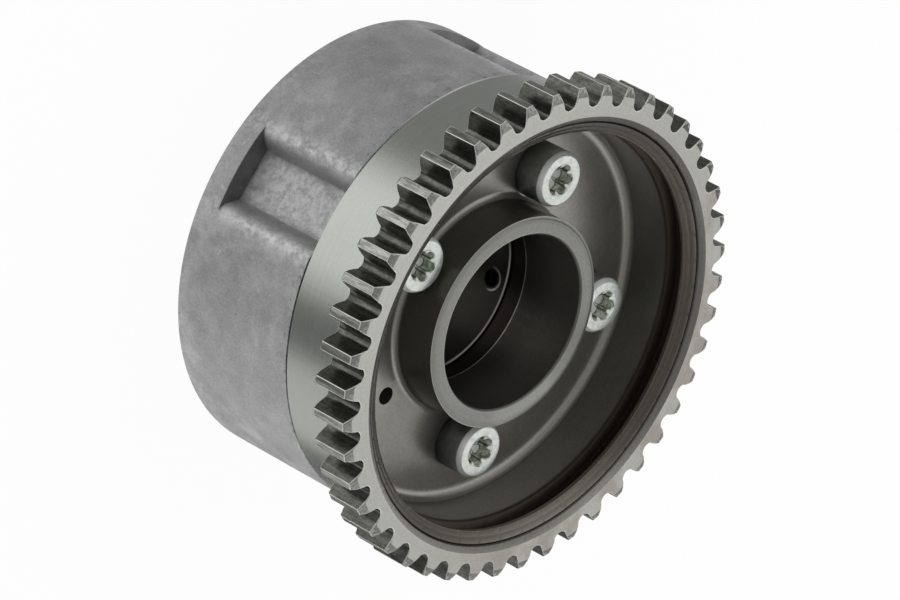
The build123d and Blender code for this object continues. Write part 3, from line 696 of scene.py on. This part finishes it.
def mark_housing(piece):
    """Where the casting is worn and lightened by a painted highlight, and where painted shade darkens its
    pockets.
    """
    x, y, z = points_of(piece)
    turn, distance = np.degrees(np.arctan2(y, x)), np.hypot(x, y)
    to_lobe = np.min([np.abs((turn - lobe + 180) % 360 - 180) for lobe in LOBES], axis=0)
    above_wall, near_floor = z > REAR_WALL, distance < POCKET_FLOOR + 0.4
    mouth_turn, mouth_spread, rim_spread = 12.0, 2.2, 1.2
    # Painted highlight on the pocket mouths, stronger towards the seam
    pocket_mouth = np.exp(-((to_lobe - mouth_turn) / mouth_spread) ** 2)
    pocket_mouth = pocket_mouth * (z > REAR_WALL - 1) * (0.6 + z / 45)
    pocket_floor = 0.6 * near_floor * (distance > 35) * above_wall
    rear_rim = np.exp(-(z / rim_spread) ** 2) * 0.4
    mark(piece, "worn_and_highlit", pocket_mouth + pocket_floor + rear_rim)
    # Painted shade in the pockets, on their end walls and side walls
    end_wall = (z > REAR_WALL - 0.01) * (z < REAR_WALL + 0.05) * (distance < HOUSING_RADIUS - 0.04)
    side_wall = 0.42 * np.clip((39.4 - distance) / 1.5, 0, 1) * (distance > POCKET_FLOOR + 0.15)
    near_screw_1 = np.where(np.abs(turn + 60) < 30, 1.0, 0.25)
    mark(piece, "pocket_shade", (end_wall * (distance > 35) + side_wall * above_wall) * near_screw_1)


def build_housing(finish):
    piece = skin("housing_shell", housing_rings())
    top = HOUSING_LENGTH + 1
    cutters = cylinders(SCREW_HOLE, SCREW_HOLE_FLOOR, top, SCREW_CIRCLE, SCREWS)
    cutters += cylinders(DOWEL_HOLE, HOUSING_LENGTH - DOWEL_REACH, top, DOWEL_CIRCLE, DOWEL_ANGLES)
    for radius, turn in ((BUSH_SEAT, VENT_ANGLE), (NOSE_HOLE, VENT_ANGLE - ROTOR_TRAVEL)):
        cutters += cylinders(radius, SEAT_FLOOR, REAR_WALL + 1, VENT_CIRCLE, (turn,), 72)
    cut(piece, cutters)
    mark_housing(piece)
    settle(piece, "housing_body", finish, "housing", sharp=40)


# The drive gear

def flank_angle(radius):
    """Half of a tooth's angle at a radius, from the involute of the base circle."""
    base = MODULE * TEETH / 2 * cos(PRESSURE)
    slope = acos(base / radius)
    return pi / (2 * TEETH) + tan(PRESSURE) - PRESSURE - (tan(slope) - slope)


def tooth_outline():
    """Angles and radii all round the teeth, with a small rounding along each tip's edges."""
    flank_start, half_pitch, bend = ROOT + ROOT_ROUND, pi / TEETH, 0.3 * TIP_EDGE
    half = [(0.0, TIP), (flank_angle(TIP) - TIP_EDGE / TIP, TIP),
            (flank_angle(TIP - bend) - bend / TIP, TIP - bend)]
    for radius in np.linspace(TIP - TIP_EDGE, flank_start, 4):
        half.append((flank_angle(radius), radius))
    root_half = half_pitch - flank_angle(flank_start)
    for share in (0.35, 0.7, 1.0):
        rest = 1 - share
        half.append((half_pitch - root_half * rest, flank_start - ROOT_ROUND * (1 - rest ** 2)))
    tooth = [(-angle, radius) for angle, radius in reversed(half[1:])] + half[:-1]
    angles = [radians(TOOTH_PHASE) + number * 2 * half_pitch + angle
              for number in range(TEETH) for angle, _ in tooth]
    return np.array(angles), np.tile([radius for _, radius in tooth], TEETH)


def inset(angles, radii, step):
    """The outline moved inwards at right angles to itself."""
    x, y = radii * np.cos(angles), radii * np.sin(angles)
    dx, dy = np.roll(x, -1) - np.roll(x, 1), np.roll(y, -1) - np.roll(y, 1)
    length = np.hypot(dx, dy)
    x, y = x - step * dy / length, y + step * dx / length
    return np.arctan2(y, x), np.hypot(x, y)


def front_at(radius):
    """The front's height at a radius, with the chamfer over the teeth's tips."""
    slope = TIP_CHAMFER_DEPTH / (TIP - TIP_CHAMFER_START)
    return FRONT - slope * np.maximum(radius - TIP_CHAMFER_START, 0)


def rear_at(radius):
    """The teeth's rear height at a radius, with its chamfer at the tips."""
    return TEETH_REAR + np.maximum(radius - (TIP - TIP_REAR_CHAMFER), 0)


def cone_at(radius):
    """The height of the cone inside the front face."""
    return FRONT - CONE_DEPTH * (FACE_INNER - radius) / (FACE_INNER - LIP)


def gear_inside():
    """The turned profile from the front face in over cone, groove, dish and hub, and back outside."""
    lip_low, hub_low = FRONT - LIP_DEPTH, HUB_FACE - HUB_BEVEL
    fine_out, fine_in = FINE_LINE + FINE_LINE_HALF, FINE_LINE - FINE_LINE_HALF
    return rounded([
        (TOOTH_FOOT, FRONT, 0), (FACE_INNER, FRONT, 0.12),
        (SCORE + SCORE_HALF, cone_at(SCORE + SCORE_HALF), 0.03), (SCORE, cone_at(SCORE) - SCORE_DEPTH, 0),
        (SCORE - SCORE_HALF, cone_at(SCORE - SCORE_HALF), 0.03),
        (fine_out, cone_at(fine_out), 0), (FINE_LINE, cone_at(FINE_LINE) - FINE_LINE_DEPTH, 0),
        (fine_in, cone_at(fine_in), 0), (LIP, cone_at(LIP), 0.14), (LIP, lip_low, 0.1),
        (GROOVE, lip_low, 0.3), (GROOVE, GROOVE_REAR, 0.4), (DISH, DISH_FRONT, 0.8),
        (DISH, WEB, DISH_CORNER), (TUBE, WEB, TUBE_CORNER), (TUBE, hub_low, 0.1),
        (HUB_BEVEL_START, HUB_FACE, 0.4), (BORE + BORE_BEVEL, HUB_FACE, 0.08),
        (BORE, HUB_FACE - BORE_BEVEL, 0.08), (BORE, HOUSING_LENGTH, 0.06),
        (HOUSING_RADIUS - SEAM_BEVEL, HOUSING_LENGTH, 0.05),
        (HOUSING_RADIUS, HOUSING_LENGTH + SEAM_BEVEL, 0.08), (HOUSING_RADIUS, TEETH_REAR, 0.3),
        (HOUSING_RADIUS + 0.4, TEETH_REAR, 0)])


def gear_rings():
    """The gear's skin: over the teeth from their rear to the front, then the turned profile."""
    angles, radii = tooth_outline()
    bend = 0.3 * TOOTH_EDGE
    bend_angles, bend_radii = inset(angles, radii, bend)
    edge_angles, edge_radii = inset(angles, radii, TOOTH_EDGE)
    rear_radii = np.minimum(edge_radii, TIP - TIP_REAR_CHAMFER)
    crease = 0.06
    over_chamfer = edge_radii > TIP_CHAMFER_START + 2 * crease
    outer = np.where(over_chamfer, TIP_CHAMFER_START + crease, edge_radii - crease / 3)
    inner = np.where(over_chamfer, TIP_CHAMFER_START - crease, edge_radii - crease)
    rings = [ring(edge_angles, rear_radii, TEETH_REAR), ring(edge_angles, edge_radii, rear_at(edge_radii)),
             ring(bend_angles, bend_radii, rear_at(radii) + bend),
             ring(angles, radii, rear_at(radii) + TOOTH_EDGE),
             ring(angles, radii, front_at(radii) - TOOTH_EDGE),
             ring(bend_angles, bend_radii, front_at(radii) - bend),
             ring(edge_angles, edge_radii, front_at(edge_radii)),
             ring(edge_angles, outer, front_at(outer)), ring(edge_angles, inner, FRONT),
             ring(angles, TOOTH_FOOT, FRONT)]
    return rings + [ring(angles, radius, height) for radius, height in gear_inside()[1:]]


def mark_teeth(piece):
    """A painted highlight along the teeth's edges, which fades on the far side."""
    x, y, z = points_of(piece)
    turn, distance = np.degrees(np.arctan2(y, x)), np.hypot(x, y)
    edge_line, half_width = 0.068, 0.035
    on_front = np.abs(front_at(distance) - z - edge_line) < half_width
    on_rear = np.abs(z - rear_at(distance) - edge_line) < half_width
    tip_corner = (distance > TIP - 0.06) & (distance < TIP - 0.01) & (z > TEETH_REAR) & (z < FRONT)
    from_left = np.abs((turn + 75 + 180) % 360 - 180)
    # The painted highlight fades with the turn away from the left
    bright = np.clip((120 - from_left) / 30, 0.12, 1)
    mark(piece, "edge", (on_front | on_rear | tip_corner) * (distance > ROOT - 0.2) * bright)


def build_gear(finish):
    piece = skin("gear_body", gear_rings())
    below, above = 27, 34
    cutters = cylinders(WEB_HOLE, below, above, SCREW_CIRCLE, SCREWS)
    cutters += cylinders(SPOT_FACE, WEB, WEB + SPOT_FACE_HEIGHT, SCREW_CIRCLE, SCREWS, 72)
    cutters += cylinders(VENT_RADIUS, below, above, VENT_CIRCLE, (VENT_ANGLE,))
    cutters += cylinders(DOWEL_HOLE, below, HOUSING_LENGTH + DOWEL_REACH, DOWEL_CIRCLE, DOWEL_ANGLES)
    cut(piece, cutters)
    mark_teeth(piece)
    settle(piece, "housing_body", finish, "drive_gear", sharp=35)


# The cover screws

def socket_radii(angles):
    """The six-lobed socket's radius at each angle, and how near each is to a rib's flank."""
    away = (angles + pi / 6) % (pi / 3) - pi / 6
    out = SOCKET_LOBE_CIRCLE
    wall = out * np.cos(away) + np.sqrt(np.maximum(SOCKET_LOBE ** 2 - (out * np.sin(away)) ** 2, 0))
    beside_rib = np.clip(1 - np.abs(np.degrees(np.abs(away)) - 23.5) / 5, 0, 1)
    return np.maximum(wall, SOCKET_RIB), beside_rib


def screw_rings(turn):
    """A screw's skin, from its socket's floor over the head and down to the shank's end."""
    angles = np.linspace(0, 2 * pi, 240, endpoint=False)
    star, _ = socket_radii(angles - turn)
    floor, mouth = HEAD_HEIGHT - SOCKET_DEPTH, SOCKET_MOUTH
    socket = ((0.0, floor - 0.3), (star * 0.55, floor - 0.12), (star * 0.94, floor - 0.04),
              (star - 0.05, floor), (star, floor + 0.1), (star, floor + 0.3), (star, HEAD_HEIGHT - 0.72),
              (np.maximum(star, mouth - 0.62), HEAD_HEIGHT - 0.5),
              (np.maximum(star, mouth - 0.1), HEAD_HEIGHT - 0.1),
              (mouth, HEAD_HEIGHT), (mouth + 0.1, HEAD_HEIGHT))
    outside = rounded([
        (3.4, HEAD_HEIGHT, 0), (HEAD_RADIUS - HEAD_CHAMFER, HEAD_HEIGHT, 0.25),
        (HEAD_RADIUS, HEAD_HEIGHT - HEAD_CHAMFER_HEIGHT, 0.5), (HEAD_RADIUS, 0, 0.2),
        (SHANK_RADIUS, 0, 0.1), (SHANK_RADIUS, SHANK_CHAMFER - SHANK_LENGTH, 0),
        (SHANK_RADIUS - SHANK_CHAMFER, -SHANK_LENGTH, 0), (0.0, -SHANK_LENGTH, 0)])
    return [ring(angles, radius, height) for radius, height in (*socket, *outside)]


def mark_screw(piece, turn):
    """The socket's walls, its floor painted as lit, painted shade at its ribs, and painted shade on the
    side of the head.
    """
    x, y, z = points_of(piece)
    angle, distance = np.arctan2(y, x), np.hypot(x, y)
    wall, beside_rib = socket_radii(angle - turn)
    floor = HEAD_HEIGHT - SOCKET_DEPTH
    in_mouth, above_floor = distance < SOCKET_MOUTH + 0.01, z > floor - 0.02
    in_lobe = in_mouth * (distance < wall + 0.03)
    mark(piece, "socket", in_lobe * above_floor * (z < HEAD_HEIGHT - 0.02))
    # Painted shade at the socket's foot, beside the ribs and on one side of the rim
    at_foot = above_floor * (z < floor + 0.2) * (distance > 1.5) * 0.7
    near_rim = (np.abs(distance - SOCKET_MOUTH) < 0.02) * (z > HEAD_HEIGHT - 0.02)
    near_rim = near_rim * (np.cos(angle + radians(75)) > 0.35)
    mark(piece, "rib", np.maximum(beside_rib * in_lobe, at_foot) + near_rim)
    # Painted light on the socket's bottom, countersink and head shoulder
    countersink = in_mouth * (distance > wall + 0.03) * (z > 0)
    chamfer_low = HEAD_HEIGHT - HEAD_CHAMFER_HEIGHT
    shoulder = (distance > 4.5) * (z < HEAD_HEIGHT - 0.05) * (z > chamfer_low - 0.1)
    bottom = (distance < 2.85) * (z < floor + 0.05) * (z > 0)
    mark(piece, "floor", bottom + countersink + 0.6 * shoulder)
    # Painted shade on the head's side
    mark(piece, "side", (distance > 3.2) * np.clip((chamfer_low - z) / 0.5, 0, 1))


def build_screw(number, place, socket_turn, finish):
    turn = radians(socket_turn)
    piece = skin(f"screw_{number}", screw_rings(turn), loop=False)
    mark_screw(piece, turn)
    x, y = on_circle(SCREW_CIRCLE, place)
    piece.data.transform(Matrix.Translation(Vector((x, y, WEB)) * MM))
    settle(piece, "housing_body", finish, f"cover_screw_{number}", sharp=35)


# The pieces that are the CAD's own shapes

def dress_inner_pieces():
    """Gives each CAD node that still shows the finish of its kind, found by its name."""
    finishes = {
        "spring": plain_steel("spring_steel", (0.36, 0.35, 0.33), (0.18, 0.175, 0.165), 0.32),
        "dowel": plain_steel("dowel_steel", (0.52, 0.52, 0.51), (0.34, 0.34, 0.33), 0.22),
        "seal": seal_finish(),
        "lock": plain_steel("ground_steel", (0.55, 0.55, 0.54), (0.36, 0.36, 0.35), 0.25),
        "rotor": rotor_finish(),
    }
    for name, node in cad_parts.items():
        if not node.hide_render:
            kind = next(key for key in finishes if key in name)
            dress(node, finishes[kind], 30)


# The studio: directions are turned from the camera's side of the object

CAMERA_RIGHT = Vector((-0.6914052838, 0.2181546865, 0.6887432514))
CAMERA_UP = Vector((-0.5915369485, -0.7182572916, -0.3663202173))
CAMERA_PLACE = Vector((0.46418183, -0.73623634, 0.72490637))
CAMERA_SIDE = Vector((0.533, -0.846, 0.0))
LENS, SENSOR_WIDTH, FARTHEST = 260, 36, 20


def place_camera():
    camera = bpy.data.objects.new("camera", bpy.data.cameras.new("camera"))
    scene.collection.objects.link(camera)
    scene.camera = camera
    camera.data.lens, camera.data.sensor_width, camera.data.clip_end = LENS, SENSOR_WIDTH, FARTHEST
    axes = Matrix((CAMERA_RIGHT, CAMERA_UP, CAMERA_RIGHT.cross(CAMERA_UP)))
    camera.matrix_world = axes.transposed().to_4x4()
    camera.matrix_world.translation = CAMERA_PLACE


def towards(turn, lift):
    """The direction at a turn from the camera's side about the axis and a lift above level."""
    across = Vector((-CAMERA_SIDE.y, CAMERA_SIDE.x, 0.0))
    level = CAMERA_SIDE * cos(radians(turn)) + across * sin(radians(turn))
    return tuple((level * cos(radians(lift)) + Vector((0, 0, sin(radians(lift))))).normalized())


def softbox(sky, ray, where, reach, edge, strength):
    """A round lamp in the surroundings: its reach and its soft edge are half angles."""
    near, far = cos(radians(reach - edge)), cos(radians(reach + edge))
    return sky.along(ray, where).ramp(far, near) * strength


def build_world():
    """White to the camera, soft light for matt surfaces, and lamps for metal to mirror."""
    world = bpy.data.worlds.new("studio")
    scene.world = world
    world.use_nodes = True
    sky = Finish("studio", world.node_tree)
    ray = sky.add("ShaderNodeTexCoord", output="Generated")
    rise = sky.split(ray)[2]

    mirrored = rise.ramp(0.0, 0.4, 0.18, 0.27) + rise.bump_at(-0.13, 0.27) * 0.36
    for lamp in ((towards(180, 38), 34, 20, 0.76), (towards(-105, 54), 15, 12, 0.30),
                 (towards(-4, -38), 25, 12, 0.92), (towards(94, -38), 20, 6, 0.56),
                 (towards(187, -38), 17, 14, 0.30), (towards(-95, -38), 50, 25, 0.11)):
        mirrored = mirrored + softbox(sky, ray, *lamp)

    soft = 0.8 + sky.along(ray, tuple(CAMERA_UP)) * 0.5
    for lamp in ((towards(95, -15), 45, 25, 1.6), (towards(128, -15), 40, 20, 2.8)):
        soft = soft + softbox(sky, ray, *lamp)

    blurred = sky.add("ShaderNodeLightPath", output="Is Diffuse Ray")
    light = sky.mix(blurred, sky.join(mirrored, mirrored, mirrored), sky.join(soft, soft, soft))
    seen = sky.add("ShaderNodeLightPath", output="Is Camera Ray")
    background = sky.add("ShaderNodeBackground", {}, {"Color": sky.mix(seen, light, (1.0, 1.0, 1.0))})
    sky.add("ShaderNodeOutputWorld", {}, {"Surface": background})


def build_floor():
    """A white floor that takes a faint shadow, and is clear from below."""
    size, shadow_share = 4.0, 0.05
    mesh = bpy.data.meshes.new("floor")
    corners = [(-size, -size, 0), (size, -size, 0), (size, size, 0), (-size, size, 0)]
    mesh.from_pydata(corners, [], [(0, 1, 2, 3)])
    floor = bpy.data.objects.new("floor", mesh)
    scene.collection.objects.link(floor)
    white = Finish("floor")
    seen = white.add("ShaderNodeEmission", {}, {"Color": (1.0, 1.0, 1.0, 1.0)})
    lit = white.add("ShaderNodeBsdfDiffuse", {}, {"Color": (0.9, 0.9, 0.9, 1.0)})
    pale = white.add("ShaderNodeMixShader", {}, {0: shadow_share, 1: seen, 2: lit})
    clear = white.add("ShaderNodeBsdfTransparent")
    under = white.add("ShaderNodeNewGeometry", output="Backfacing")
    shown = white.add("ShaderNodeMixShader", {}, {0: under, 1: pale, 2: clear})
    white.add("ShaderNodeOutputMaterial", {}, {"Surface": shown})
    mesh.materials.append(white.material)
    floor.visible_diffuse = floor.visible_glossy = False
    floor.visible_shadow = floor.visible_transmission = False


build_housing(cast_finish())
build_gear(gear_finish())
zinc = zinc_finish()
for number, (place, socket_turn) in enumerate(zip(SCREWS, SOCKET_TURNS), start=1):
    build_screw(number, place, socket_turn, zinc)
dress_inner_pieces()
place_camera()
build_world()
build_floor()
scene.view_settings.view_transform = "Standard"
